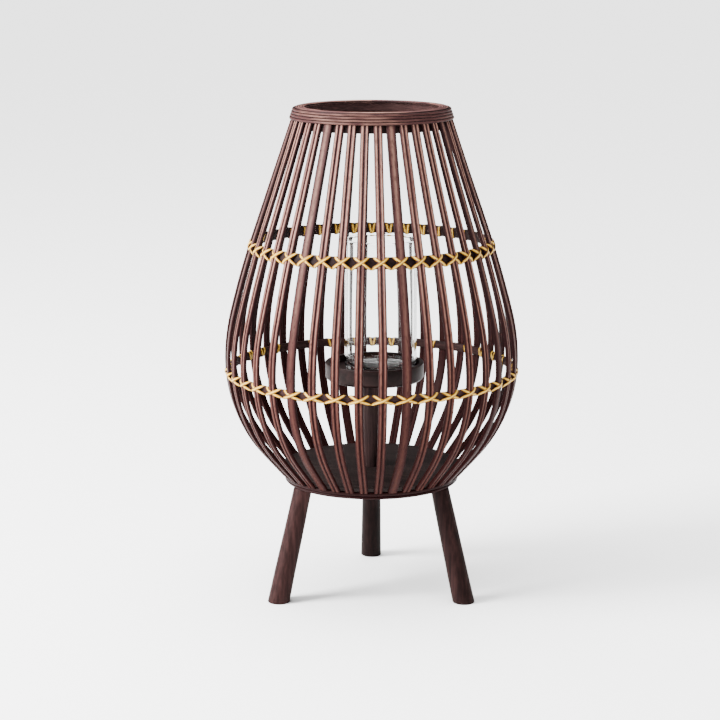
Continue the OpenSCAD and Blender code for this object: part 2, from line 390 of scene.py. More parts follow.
def set_grain(obj, place):
    """Gives a mesh its grain map: place(point, normal) returns how far along and across it is."""
    mesh = obj.data
    grain = mesh.uv_layers.new(name="grain")
    for face in mesh.polygons:
        for corner in face.loop_indices:
            co = mesh.vertices[mesh.loops[corner].vertex_index].co
            grain.data[corner].uv = place(co, face.normal)


def shift_grain(obj, along, across):
    """Moves a piece's grain map, so that its grain differs from its neighbours'."""
    for point in obj.data.uv_layers["grain"].data:
        point.uv = (point.uv[0] + along, point.uv[1] + across)


def finish(obj, material, slot, *nodes, body="cage"):
    """Gives a piece its material and its body, and hides the CAD nodes that it stands for; slot is not
    used.
    """
    obj.data.materials.clear()
    obj.data.materials.append(material)
    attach(obj, body)
    if nodes:
        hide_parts(*nodes)


# ---------------------------------------------------------------- shader maths

class Wire:
    """A shader socket that can stand in a sum: each sign adds its Math node."""

    def __init__(self, stain, socket):
        self.stain = stain
        self.socket = socket

    def __add__(self, other):
        return self.stain.math("ADD", self, other)

    def __radd__(self, other):
        return self.stain.math("ADD", other, self)

    def __sub__(self, other):
        return self.stain.math("SUBTRACT", self, other)

    def __rsub__(self, other):
        return self.stain.math("SUBTRACT", other, self)

    def __mul__(self, other):
        return self.stain.math("MULTIPLY", self, other)

    def __rmul__(self, other):
        return self.stain.math("MULTIPLY", other, self)

    def __truediv__(self, other):
        return self.stain.math("DIVIDE", self, other)


class Stain:
    """One material, built node by node."""

    def __init__(self, name):
        self.material = bpy.data.materials.new(name)
        self.material.use_nodes = True
        self.tree = self.material.node_tree
        self.tree.nodes.clear()
        self.shader = self.tree.nodes.new("ShaderNodeBsdfPrincipled")
        output = self.tree.nodes.new("ShaderNodeOutputMaterial")
        self.tree.links.new(self.shader.outputs[0], output.inputs["Surface"])

    def feed(self, socket, value):
        """Links a wire to a socket, or sets the socket's value."""
        if isinstance(value, Wire):
            self.tree.links.new(value.socket, socket)
        else:
            socket.default_value = value

    def node(self, kind, inputs=None, out=0, **settings):
        """Adds a node with its settings and the values or links of its inputs."""
        n = self.tree.nodes.new(kind)
        for key, value in settings.items():
            setattr(n, key, value)
        for key, value in (inputs or {}).items():
            self.feed(n.inputs[key], value)
        return Wire(self, n.outputs[out])

    def math(self, how, a, b=0.0, clamp=False):
        return self.node("ShaderNodeMath", {0: a, 1: b}, operation=how, use_clamp=clamp)

    def clamp(self, a):
        """The value, kept between 0 and 1."""
        return self.math("ADD", a, 0.0, clamp=True)

    def between(self, a, low, high):
        """0 below low, 1 above high, smooth between."""
        return self.node("ShaderNodeMapRange", {0: a, 1: low, 2: high}, interpolation_type="SMOOTHSTEP")

    def mix(self, a, b, t, how="MIX"):
        """Colour a, turning to b as t goes from 0 to 1."""
        return self.node("ShaderNodeMix", {0: t, 6: rgba(a), 7: rgba(b)}, out=2, data_type="RGBA",
                         blend_type=how, clamp_factor=True)

    def noise(self, vector, detail, rough=0.5, distortion=0.0):
        """Clouds about one unit of the vector in size: 0.5 on average."""
        return self.node("ShaderNodeTexNoise", {"Vector": vector, "Scale": 1.0, "Detail": detail,
                                                "Roughness": rough, "Distortion": distortion})

    def vector(self, x, y, z):
        return self.node("ShaderNodeCombineXYZ", {0: x, 1: y, 2: z})

    def parts(self, vector):
        """The three parts of a vector."""
        n = self.node("ShaderNodeSeparateXYZ", {0: vector}).socket.node
        return [Wire(self, s) for s in n.outputs]

    def object_place(self, turn=(0, 0, 0), move=(0, 0, 0)):
        """Object coordinates through a Mapping node."""
        at = self.node("ShaderNodeTexCoord", out=3)
        return self.node("ShaderNodeMapping", {"Vector": at, "Rotation": turn, "Location": move})

    def grain_place(self):
        return self.node("ShaderNodeUVMap", uv_map="grain")

    def bump(self, height, distance, strength):
        return self.node("ShaderNodeBump", {"Height": height, "Distance": distance, "Strength": strength})

    def set(self, **sockets):
        """Sets or links the shader's own sockets, and returns the finished material."""
        names = {"colour": "Base Color", "rough": "Roughness", "normal": "Normal", "coat": "Coat Weight",
                 "coat_rough": "Coat Roughness", "ior": "IOR", "transmission": "Transmission Weight",
                 "specular": "Specular IOR Level"}
        for key, value in sockets.items():
            self.feed(self.shader.inputs[names[key]], rgba(value))
        return self.material


def rgba(value):
    """A colour with its fourth part, and any other value as it is."""
    return (*value, 1.0) if isinstance(value, tuple) and len(value) == 3 else value


def scaled(colour, light):
    """A colour made lighter or darker."""
    return tuple(part * light for part in colour)


# Stain colours, from the deepest to the rubbed through. On the splints the deepest and the red also serve
# as painted shade, and the rubbed as painted highlight
STAIN_AND_SHADE_DEEP = (0.0095, 0.0038, 0.0041)
STAIN_AND_SHADE_RED = (0.0100, 0.0019, 0.0018)
STAIN_DARK = (0.0460, 0.0180, 0.0200)
STAIN_BODY = (0.1500, 0.0650, 0.0590)
STAIN_RUBBED_AND_HIGHLIGHT = (0.4600, 0.2450, 0.1850)
# Cast of the painted shade towards the splints' lower ends
PAINTED_SHADE_CAST = (1.0, 0.74, 0.68)

# Streaks and fibres of the stained cane, per metre across it
CANE_STREAKS = 600.0
CANE_FIBRES = 1800.0
# Streaks per metre across a hoop
HOOP_STREAKS = 1500.0


def splint_stain(name, across_scale, rub_and_highlight_strength, deeper):
    """Dark stain on split bamboo: mottled and streaked, with painted shade on its rounded edges and a crown
    that is partly rubbed and partly painted highlight.

    Painted shade darkens and reddens it towards the lower ends, where the crown's highlight fades.
    across_scale sets how fine the streaks are across a splint, the rub strength how much of its crown is
    rubbed and painted with highlight, and deeper how far the stain has turned to its deepest at the upper
    end."""
    s = Stain(name)
    u, v, _ = s.parts(s.grain_place())
    index = s.math("FLOOR", v)
    across = s.math("FRACT", v)
    inside = s.math("GREATER_THAN", u, INNER_SIDE / 2)
    off_centre = s.math("ABSOLUTE", across - 0.5) * (2 / GRAIN_SHARE)
    tone = s.node("ShaderNodeTexWhiteNoise", {"W": index}, noise_dimensions="1D")
    patch = s.noise(s.vector(u * 0.8, index * 7.31, 0.0), 2.0)
    streak = s.noise(s.vector(u * 0.7, v * across_scale * 0.55, index), 4.0, 0.62)
    fibre = s.noise(s.vector(u * 5.0, v * across_scale * 7.0, index), 3.0, 0.6)
    mottle = s.noise(s.vector(u * 15.0, v * across_scale * 0.36, index * 1.7), 2.0, 0.65)
    speck = s.noise(s.vector(u * 32.0, v * across_scale * 0.5, index * 3.3), 2.0, 0.6)
    # Painted shade on the rounded edges of each splint
    edge = s.between(off_centre + (streak - 0.5) * 0.6, 0.42, 0.92)
    # Painted highlight along each splint's crown, gated by patches of rubbed wear
    crown = 1.0 - s.between(off_centre + (streak - 0.5) * 0.9, 0.02, 0.52)
    # Painted shade towards the lower end of each splint
    low_shade = s.between(u - inside * INNER_SIDE, PAINTED_SHADE_START, PAINTED_SHADE_END)
    # The rubbing and the painted highlight fade into the painted shade at the lower end, and are left off
    # the inner face
    worn = (1.0 - inside) * (1.0 - low_shade * 0.55)
    # How much of the crown carries painted highlight and rubbed wear
    wear_and_light = s.clamp(crown * rub_and_highlight_strength * s.between(patch + streak * 0.5, 0.40, 0.90) * worn)
    colour = s.mix(STAIN_DARK, STAIN_BODY, s.between(streak + (tone - 0.5) * 0.35, 0.32, 0.64))
    # Painted highlight and rubbed wear on the crown
    colour = s.mix(colour, STAIN_RUBBED_AND_HIGHLIGHT, wear_and_light)
    colour = s.mix(colour, STAIN_RUBBED_AND_HIGHLIGHT, s.between(speck, 0.58, 0.80) * 0.35 * (1.0 - edge) * worn)
    colour = s.mix(colour, STAIN_AND_SHADE_DEEP, s.between(mottle, 0.46, 0.72) * 0.55)
    # Painted shade at the edges
    colour = s.mix(colour, STAIN_AND_SHADE_DEEP, s.clamp(edge * 0.80))
    colour = s.mix(colour, STAIN_AND_SHADE_DEEP, s.between(fibre, 0.54, 0.78) * 0.45)
    colour = s.mix(colour, STAIN_DARK, inside * 0.5)
    # Painted shade: darker and redder towards each splint's lower end
    colour = s.mix(colour, PAINTED_SHADE_CAST, low_shade, "MULTIPLY")
    colour = s.mix(colour, s.mix(STAIN_AND_SHADE_DEEP, STAIN_AND_SHADE_RED, low_shade), low_shade * (PAINTED_SHADE_DEPTH - deeper) + deeper)
    height = streak * 0.6 + fibre * 0.4
    return s.set(colour=colour, rough=0.36 + fibre * 0.22, normal=s.bump(height, 0.35 * MM, 0.6),
                 specular=0.03)


def cane_stain(name, light, deeper, groove=None):
    """Dark stain on cane bent round the axis: the streaks run round it.

    light is how much of it is rubbed, and deeper is how far it has turned to its deepest red.
    groove is (axis, start, pitch) of the dark joints between strands, along the height or
    the radius."""
    s = Stain(name)
    x, y, z = s.parts(s.object_place())
    angle = s.math("ARCTAN2", x, y * -1.0)
    radius = s.math("SQRT", x * x + y * y)
    long = s.noise(s.vector(angle * 4.0, z * CANE_STREAKS, radius * CANE_STREAKS), 4.0, 0.6)
    fibre = s.noise(s.vector(angle * 14.0, z * CANE_FIBRES, radius * CANE_FIBRES), 3.0, 0.6)
    patch = s.noise(s.vector(angle * 1.3, z * 60.0, radius * 60.0), 3.0)
    colour = s.mix(STAIN_DARK, STAIN_BODY, s.between(long, 0.26, 0.72))
    colour = s.mix(colour, STAIN_RUBBED_AND_HIGHLIGHT, s.between(patch + (long - 0.5) * 0.5, 0.45, 0.85) * light)
    colour = s.mix(colour, STAIN_AND_SHADE_DEEP, s.between(fibre, 0.52, 0.78) * 0.45)
    colour = s.mix(colour, STAIN_AND_SHADE_RED, deeper)
    if groove:
        axis, start, pitch = groove
        across = s.math("FRACT", ((z if axis == "height" else radius) - start) / pitch)
        joint = s.math("ABSOLUTE", across - 0.5) * 2.0
        colour = s.mix(colour, STAIN_AND_SHADE_DEEP, s.between(joint + (long - 0.5) * 0.15, 0.45, 0.88) * 0.92)
    return s.set(colour=colour, rough=0.40 + fibre * 0.2, normal=s.bump(long + fibre * 0.5, 0.25 * MM, 0.6),
                 specular=0.05)


def hoop_stain(name, light):
    """The dark, dull skin of the inner bands and hoops."""
    s = Stain(name)
    x, y, z = s.parts(s.object_place())
    angle = s.math("ARCTAN2", x, y * -1.0)
    long = s.noise(s.vector(angle * 4.0, z * HOOP_STREAKS, 0.0), 4.0, 0.6)
    patch = s.noise(s.vector(angle * 3.0, z * 90.0, 0.0), 2.0)
    deep = scaled((0.004, 0.0018, 0.0018), light)
    pale = scaled((0.016, 0.0070, 0.0066), light)
    worn = scaled((0.032, 0.0170, 0.0150), light)
    colour = s.mix(s.mix(deep, pale, s.between(long, 0.3, 0.7)), worn, s.between(patch, 0.5, 0.85) * 0.6)
    return s.set(colour=colour, rough=0.5 + long * 0.2, normal=s.bump(long, 0.2 * MM, 0.6), specular=0.06)


def cane_gold(name):
    """Natural cane with its glossy skin: a painted highlight on its crown, painted shade on its orange
    brown edges, streaks and flecks.
    """
    s = Stain(name)
    u, v, _ = s.parts(s.grain_place())
    streak = s.noise(s.vector(u * 1.6, v * 4.0, 0.0), 4.0, 0.6)
    fibre = s.noise(s.vector(u * 6.0, v * 24.0, 3.0), 3.0, 0.6)
    fleck = s.noise(s.vector(u * 3.2, v * 3.0, 9.0), 2.0, 0.5)
    shade, body, painted_highlight = (0.180, 0.076, 0.004), (0.440, 0.225, 0.012), (0.920, 0.650, 0.150)
    fibre_brown, fleck_brown = (0.085, 0.028, 0.003), (0.060, 0.018, 0.003)
    edge_shade_brown = (0.070, 0.021, 0.002)
    off_centre = s.math("ABSOLUTE", v - 0.5) * 2.0
    edge = s.between(off_centre + (streak - 0.5) * 0.5, 0.52, 0.95)
    crown = 1.0 - s.between(off_centre + (streak - 0.5) * 0.8, 0.0, 0.45)
    colour = s.mix(shade, body, s.between(streak, 0.36, 0.62))
    # Painted highlight along the crown
    colour = s.mix(colour, painted_highlight, crown * 0.65)
    colour = s.mix(colour, fibre_brown, s.between(fibre, 0.55, 0.80) * 0.5)
    colour = s.mix(colour, fleck_brown, s.between(fleck, 0.58, 0.74) * 0.65)
    # Painted shade on the edges
    colour = s.mix(colour, edge_shade_brown, edge * 0.85)
    return s.set(colour=colour, rough=0.30 + fibre * 0.2, coat=0.06, coat_rough=0.15,
                 normal=s.bump(streak + fibre * 0.6, 0.12 * MM, 0.5), specular=0.08)


def board_stain(name):
    """The round board: straight grain across it under a thin grey brown stain."""
    s = Stain(name)
    x, y, z = s.parts(s.object_place(turn=(0, 0, 0.4)))
    growth = s.noise(s.vector(x * 9.0, y * 120.0, z * 60.0), 4.0, 0.6, 0.5)
    fibre = s.noise(s.vector(x * 30.0, y * 900.0, z * 900.0), 3.0, 0.6)
    patch = s.noise(s.vector(x * 14.0, y * 14.0, z * 14.0), 3.0)
    dark, pale = (0.006, 0.0034, 0.0032), (0.0140, 0.0085, 0.0080)
    pores, worn = (0.004, 0.0023, 0.0022), (0.021, 0.0138, 0.0130)
    colour = s.mix(dark, pale, s.between(growth, 0.3, 0.7))
    colour = s.mix(colour, pores, s.between(fibre, 0.5, 0.75) * 0.6)
    colour = s.mix(colour, worn, s.between(patch, 0.5, 0.8) * 0.4)
    return s.set(colour=colour, rough=0.52 + fibre * 0.2, normal=s.bump(growth + fibre, 0.2 * MM, 0.6),
                 specular=0.06)


def rod_stain(name, pale, dark, wear_and_light):
    """A stained rod: its streaks run up it, and the last argument is how much of it is worn paler, which on
    the legs also stands for painted light.
    """
    s = Stain(name)
    x, y, z = s.parts(s.object_place())
    long = s.noise(s.vector(x * 260.0, y * 260.0, z * 9.0), 4.0, 0.6)
    fibre = s.noise(s.vector(x * 1500.0, y * 1500.0, z * 45.0), 3.0, 0.6)
    patch = s.noise(s.vector(x * 30.0, y * 30.0, z * 14.0), 3.0)
    colour = s.mix(dark, pale, s.between(long, 0.30, 0.70))
    colour = s.mix(colour, STAIN_BODY, s.between(patch + (long - 0.5) * 0.5, 0.50, 0.90) * 0.22 * wear_and_light)
    colour = s.mix(colour, STAIN_AND_SHADE_DEEP, s.between(fibre, 0.54, 0.78) * 0.55)
    return s.set(colour=colour, rough=0.42 + fibre * 0.2, normal=s.bump(long + fibre * 0.5, 0.25 * MM, 0.6),
                 specular=0.04)


def tray_stain(name, middle):
    """The tray, turned about its middle: dark, with faint rings left by the lathe."""
    s = Stain(name)
    x, y, z = s.parts(s.object_place(move=(-middle, 0, 0)))
    grain = s.noise(s.vector(x * 14.0, y * 160.0, z * 120.0), 4.0, 0.6, 0.4)
    radius = s.math("SQRT", x * x + y * y)
    lathe = s.noise(s.vector(radius * 1400.0, z * 1400.0, 0.0), 2.0)
    dark, pale = (0.0055, 0.0023, 0.0021), (0.0155, 0.0067, 0.0061)
    colour = s.mix(dark, pale, s.between(grain, 0.3, 0.7))
    colour = s.mix(colour, STAIN_AND_SHADE_DEEP, s.between(lathe, 0.5, 0.8) * 0.35)
    return s.set(colour=colour, rough=0.34 + grain * 0.15, specular=0.1,
                 normal=s.bump(grain + lathe * 0.4, 0.15 * MM, 0.5))


def clear_glass(name):
    """Clear polished glass with a faint green cast. It bends light less than real glass does,
    so that its wall shows no broken dark lines."""
    s = Stain(name)
    return s.set(colour=(0.98, 0.99, 0.985), rough=0.0, ior=1.2, transmission=1.0, specular=0.5)


def bare_beech(name):
    """Unstained wood, for what is hidden."""
    s = Stain(name)
    x, y, z = s.parts(s.object_place())
    grain = s.noise(s.vector(x * 600.0, y * 600.0, z * 30.0), 3.0)
    dark, pale = (0.42, 0.27, 0.14), (0.60, 0.43, 0.26)
    return s.set(colour=s.mix(dark, pale, grain), rough=0.6)


# ---------------------------------------------------------------- splints

def straight_splint(name, length, width, thick, outer_round, crown):
    """A straight splint along X, its outer face up, in enough lengths to bend."""
    clear()
    bpy.ops.mesh.primitive_cube_add(size=1, location=(length / 2, 0, 0))
    obj = settle(name, (length, width, thick))
    bpy.ops.object.mode_set(mode="EDIT")
    pick(obj, lambda a, b: abs(a.y - b.y) > width / 2)
    bpy.ops.mesh.subdivide(number_cuts=1)
    pick(obj, lambda a, b: a.z > 0 and b.z > 0 and abs(a.y) + abs(b.y) < width / 4)
    bpy.ops.transform.translate(value=(0, 0, crown))
    pick(obj, lambda a, b: a.z > 0 and b.z > 0 and abs(a.x - b.x) > length / 2 and abs(a.y) > width / 4)
    bpy.ops.mesh.bevel(offset=outer_round, segments=4, profile=0.5)
    pick(obj, lambda a, b: a.z < 0 and b.z < 0 and abs(a.x - b.x) > length / 2 and abs(a.y) > width / 4)
    bpy.ops.mesh.bevel(offset=INNER_ROUND, segments=2, profile=0.5)
    pick(obj, lambda a, b: abs(a.x - b.x) > length / 2)
    bpy.ops.mesh.subdivide(number_cuts=SPLINT_CUTS)
    leave_edit()
    closed(obj)

    def place(co, normal):
        inside = INNER_SIDE if normal.z < -0.3 else 0.0
        return (co.x / GRAIN_UNIT + inside, 0.5 + GRAIN_SHARE * co.y / width)

    set_grain(obj, place)
    return obj


def profile_curve():
    """The bent line that every splint follows, through the middle of its thickness."""
    curve = bpy.data.curves.new("splint_line", "CURVE")
    curve.dimensions = "3D"
    curve.twist_mode = "MINIMUM"
    curve.resolution_u = 8
    line = curve.splines.new("BEZIER")
    line.bezier_points.add(len(MIDDLE) - 1)
    for point, (r, z) in zip(line.bezier_points, MIDDLE):
        point.co = (r, 0, z)
        point.handle_left_type = "AUTO"
        point.handle_right_type = "AUTO"
    obj = bpy.data.objects.new("splint_line", curve)
    bpy.context.scene.collection.objects.link(obj)
    return obj


def bend(obj, line):
    """Bends a straight piece along the splints' line, its outer face outwards."""
    modify(obj, "CURVE", object=line, deform_axis="POS_X")
    closed(obj)


def path_length(points):
    """Length of a line through points."""
    return sum(math.dist(a, b) for a, b in zip(points, points[1:]))


def make_splints():
    """All forty places round the cage, each copied from one bent pair or one bent wide splint."""
    random.seed(7)
    length = path_length(MIDDLE)
    thick = math.dist(OUTER[len(OUTER) // 2], INNER[len(INNER) // 2])
    pair_w = width_of(PAIRS[0])
    wide_w = width_of(WIDES[0])
    one_w = (pair_w - SPLINT_JOINT) / 2
    one = straight_splint("narrow_pattern", length, one_w, thick, NARROW_ROUND, NARROW_CROWN)
    wide = straight_splint("wide_pattern", length, wide_w, thick, WIDE_ROUND, WIDE_CROWN)
    other = copy_of(one, "narrow_twin", Matrix.Translation((0, -(pair_w - one_w) / 2, 0)))
    one.data.transform(Matrix.Translation((0, (pair_w - one_w) / 2, 0)))
    shift_grain(other, 0.0, TWIN_STEP)
    pair = join([one, other], "pair_pattern")
    line = profile_curve()
    bend(pair, line)
    bend(wide, line)
    narrow_stain = splint_stain("stained_narrow_splint", across_scale=9.0, rub_and_highlight_strength=1.7, deeper=0.47)
    wide_stain = splint_stain("stained_wide_splint", across_scale=18.0, rub_and_highlight_strength=0.9, deeper=0.69)
    for pattern, nodes, stain in ((pair, PAIRS, narrow_stain), (wide, WIDES, wide_stain)):
        for node in nodes:
            piece = copy_of(pattern, "bent_" + node, Matrix.Rotation(place_angle(node), 4, "Z"))
            shift_grain(piece, 0.0, float(random.randrange(1, 400)))
            waver(piece, SPLINT_WAVER, WAVER_LENGTH)
            smooth(piece, degrees=40)
            finish(piece, stain, "splint_bamboo", node)
    for done in (pair, wide, line):
        discard(done)


# ---------------------------------------------------------------- rim, hoops and edge strands

def lean_of(low, top):
    """How far a line from a low point to a top one leans inwards, from upright."""
    return math.atan2(low[0] - top[0], top[1] - low[1])


def make_rim_outside():
    """The strands on the outside of the rim, one above the other."""
    lean = lean_of(OUTER[1], OUTER[0])
    wrap = outline_of("rim_wrap")
    low_z, top_z = wrap[0][1], wrap[-1][1]
    height = (top_z - low_z) / WRAP_TURNS
    strands = []
    for i in range(WRAP_TURNS):
        z = low_z + (i + 0.5) * height
        r = OUTER[0][0] + (OUTER[0][1] - z) * math.tan(lean) + WRAP_GAP + WRAP_T / 2
        strands.append(ring(f"wrap_{i}", r, z, WRAP_T / 2, height / 2 * WRAP_PRESS, lean))
    piece = join(strands, "rim_outside_strands")
    waver(piece, strength=0.5 * MM, size=0.05)
    smooth(piece, degrees=60)
    stain = cane_stain("stained_rim_cane", light=0.7, deeper=0.62, groove=("height", low_z, height))
    finish(piece, stain, "rim_cane", "rim_wrap")


def make_rim_top():
    """The strands that close the top of the rim, side by side."""
    in_r, out_r = radii_of("rim_coil")
    low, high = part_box("rim_coil")
    wide = (out_r - in_r) / COIL_TURNS
    mid_z = (low.z + high.z) / 2
    half_t = (high.z - low.z) / 2
    strands = [ring(f"coil_{i}", in_r + (i + 0.5) * wide, mid_z, wide / 2 * COIL_PRESS, half_t)
               for i in range(COIL_TURNS)]
    piece = join(strands, "rim_top_strands")
    waver(piece, strength=0.45 * MM, size=0.06)
    smooth(piece, degrees=60)
    stain = cane_stain("stained_rim_top", light=0.9, deeper=0.38, groove=("radius", in_r, wide))
    finish(piece, stain, "rim_cane", "rim_coil")


def make_bands():
    """The two bands inside the rim, and the two hoops."""
    inner = hoop_stain("stained_inner_band", light=3.1)
    dark = hoop_stain("stained_hoop", light=1.0)
    lower = hoop_stain("stained_lower_hoop", light=1.9)
    for node, name, stain, edge in (("rim_band_upper", "inner_rim_band_upper", inner, 0.7 * MM),
                                    ("rim_band_lower", "inner_rim_band_lower", dark, 0.7 * MM),
                                    ("upper_hoop", "bent_upper_hoop", dark, 0.6 * MM),
                                    ("lower_hoop", "bent_lower_hoop", lower, 0.6 * MM)):
        piece = band(name, node, edge)
        smooth(piece)
        finish(piece, stain, "hoop_bamboo", node)


def make_edge_strands():
    """The two strands round the board's edge."""
    stain = cane_stain("stained_edge_cane", light=0.0, deeper=1.0)
    for node in ("edge_strand_upper", "edge_strand_lower"):
        in_r, out_r = radii_of(node)
        low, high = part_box(node)
        piece = ring("bent_" + node, (in_r + out_r) / 2, (low.z + high.z) / 2, (out_r - in_r) / 2,
                     (high.z - low.z) / 2, gap=SEAM_GAP, start=SEAM_PLACE)
        waver(piece, strength=0.4 * MM, size=0.05)
        smooth(piece, degrees=60)
        finish(piece, stain, "rim_cane", node)


# ---------------------------------------------------------------- lashing

def strand_stations(hoop, side, over, cross):
    """One repeat of a strand round a hoop: (angle, radius, height, direction its face looks).

    side is 1 for the strand that falls to the right over each splint, and -1 for the one that
    falls to the left. over is how far it is raised where it crosses the other one, and cross is
    the height of that crossing as a share of the hoop's half height."""
    low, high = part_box(hoop)
    in_r, out_r = radii_of(hoop)
    z = (low.z + high.z) / 2
    half_h = (high.z - low.z) / 2
    lean = lean_of((at_height(OUTER, z - 5 * MM), z - 5 * MM), (at_height(OUTER, z + 5 * MM), z + 5 * MM))
    face_r = at_height(OUTER, z) + CANE_GAP
    hoop_r = (in_r + out_r) / 2
    half_t = (out_r - in_r) / 2 - half_h * math.tan(abs(lean))
    half = PLACE_STEP * face_r / 2
    rib = width_of(PAIRS[0]) / 2
    top = half_h + CANE_GAP
    start = CANE_SPREAD - half
    behind = hoop_r - half_t - 0.3 * MM
    raised = face_r + over
    drop = top + over
    up, down = Vector((0, 0, 1)), Vector((0, 0, -1))
    out, back = Vector((1, 0, 0)), Vector((-1, 0, 0))

    def height(along):
        """Height of a straight arm of the cross, above the splint or below it."""
        if along < 0:
            return top * (cross + (1 - cross) * along / start)
        return top * (cross - (1 + cross) * along / half)

    rows = [
        (start - 0.2 * MM, hoop_r, top, up),
        (start + 0.2 * MM, hoop_r + half_t + 0.8 * MM, top - 0.2 * MM, up + out * 0.9),
        (-rib - 1.0 * MM, face_r - 0.8 * MM, height(-rib - 0.6 * MM), out + up * 0.1),
        (-rib + 0.8 * MM, raised, height(-rib + 0.8 * MM), out),
        (0.0, raised, height(0.0), out),
        (rib - 0.8 * MM, raised, height(rib - 0.8 * MM), out),
        (rib + 1.0 * MM, face_r - 0.6 * MM, height(rib + 1.0 * MM), out),
        (half - 2.6 * MM, hoop_r + half_t + 1.2 * MM, height(half - 2.2 * MM), out + down * 0.15),
        (half - 0.8 * MM, hoop_r + half_t * 0.8, -drop, down + out * 0.5),
        (half + 0.1 * MM, hoop_r - half_t * 0.7, -drop, down + back * 0.3),
        (half + 0.36 * CANE_SPREAD, behind, -top * 0.7, back + down * 0.2),
        (half + 0.66 * CANE_SPREAD, behind, top * 0.1, back),
        (half + 0.93 * CANE_SPREAD, behind, top * 0.8, back + up * 0.4),
    ]
    stations = []
    for along, r, h, look in rows:
        shift = -h * math.tan(lean)
        place = along / face_r * side
        stations.append((place, r + shift, z + h, look))
    return stations


def strand_line(hoop, side, over, cross):
    """The points of one repeat of a strand, up to the first of the next one, and the direction
    that its face looks at each of them."""
    stations = strand_stations(hoop, side, over, cross)
    place, r, z, look = stations[0]
    stations.append((place + PLACE_STEP * side, r, z, look))
    points = []
    looks = []
    for place, r, z, look in stations:
        turn = Matrix.Rotation(place, 3, "Z")
        points.append(turn @ Vector((r, 0, 0)) + Vector((0, 0, z)))
        looks.append((turn @ look).normalized())
    return points, looks


def strand_repeat(name, points, looks, side):
    """One repeat of a strand, as a strip three faces wide, and the length of cane in it."""
    before = Matrix.Rotation(-PLACE_STEP * side, 3, "Z") @ points[-2]
    after = Matrix.Rotation(PLACE_STEP * side, 3, "Z") @ points[1]
    line = [before, *points, after]
    length = [0.0]
    for a, b in zip(points, points[1:]):
        length.append(length[-1] + (b - a).length)
    clear()
    bpy.ops.mesh.primitive_grid_add(x_subdivisions=3, y_subdivisions=len(points) - 1, size=1)
    strip = settle(name)
    rows = sorted({round(v.co.y, 4) for v in strip.data.vertices})
    row_of = {y: i for i, y in enumerate(rows)}

    def place(co, normal):
        return (length[row_of[round(co.y, 4)]] / CANE_GRAIN_UNIT, co.x + 0.5)

    set_grain(strip, place)
    for v in strip.data.vertices:
        i = row_of[round(v.co.y, 4)]
        way = (line[i + 2] - line[i]).normalized()
        across = way.cross(looks[i]).normalized()
        crown = (1 - 4 * v.co.x ** 2) * CANE_CROWN
        v.co = points[i] + across * v.co.x * CANE_W + looks[i] * crown
    return strip, length[-1]


def strand(name, hoop, side, over, cross):
    """A cane strand wound round a hoop and every splint: one repeat is laid out and then copied."""
    points, looks = strand_line(hoop, side, over, cross)
    strip, length = strand_repeat(name, points, looks, side)
    copies = []
    for i in range(PLACES):
        twin = copy_of(strip, f"{name}_{i}", Matrix.Rotation(PLACE_STEP * i, 4, "Z"))
        shift_grain(twin, i * length / CANE_GRAIN_UNIT * side, 0.0)
        copies.append(twin)
    discard(strip)
    whole = join(copies, name)
    only(whole)
    edit_all()
    bpy.ops.mesh.remove_doubles(threshold=0.05 * MM)
    leave_edit()
    return whole


def make_lashing():
    """Two strands on each hoop: one falls to the right over each splint, and one rises over it."""
    first = place_angle(WIDES[0])
    gold = cane_gold("golden_cane")
    for hoop, node, cross in (("upper_hoop", "upper_lashing", UPPER_CROSS),
                              ("lower_hoop", "lower_lashing", LOWER_CROSS)):
        for side, over, word in ((1, 0.0, "falling"), (-1, CANE_T + 0.1 * MM, "rising")):
            piece = strand(f"{node}_{word}", hoop, side, over, cross)
            piece.data.transform(Matrix.Rotation(first, 4, "Z"))
            only(piece)
            edit_all()
            bpy.ops.mesh.normals_make_consistent(inside=False)
            leave_edit()
            modify(piece, "SOLIDIFY", thickness=CANE_T, offset=0.0)
            modify(piece, "SUBSURF", levels=2, render_levels=2)
            smooth(piece, degrees=80)
            finish(piece, gold, "lashing_cane", node)


# ---------------------------------------------------------------- board, legs, post and tray

def make_board():
    """The round board, turned to the outline of its CAD node's edge."""
    outline = []
    for r, z in outline_of("base_board", HOLES_WITHIN * radii_of("edge_strand_lower")[0]):
        if outline and abs(outline[-1][0] - r) < 0.02 * MM and abs(outline[-1][1] - z) < 0.02 * MM:
            continue
        outline.append((r, z))
    piece = turned("round_board", outline)
    ease(piece, width=0.8 * MM, segments=2, degrees=30)
    smooth(piece)
    finish(piece, board_stain("stained_board"), "board_wood", "base_board")


def leg_ends(node):
    """A leg's direction, and its level top and foot: (distance out of its middle, half its width
    across that direction, half its width along it, height)."""
    lo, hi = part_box(node)
    turn = place_angle(node)
    out = Vector((math.cos(turn), math.sin(turn), 0))
    side = Vector((-out.y, out.x, 0))
    ends = []
    for z in (hi.z, lo.z):
        level = [v.co for v in NODES[node].data.vertices if abs(v.co.z - z) < 0.01 * MM]
        half_w = max(abs(c.dot(side)) for c in level)
        far = max(c.dot(out) for c in level)
        near = min(c.dot(out) for c in level)
        ends.append(((far + near) / 2, half_w, (far - near) / 2, z))
    return turn, ends


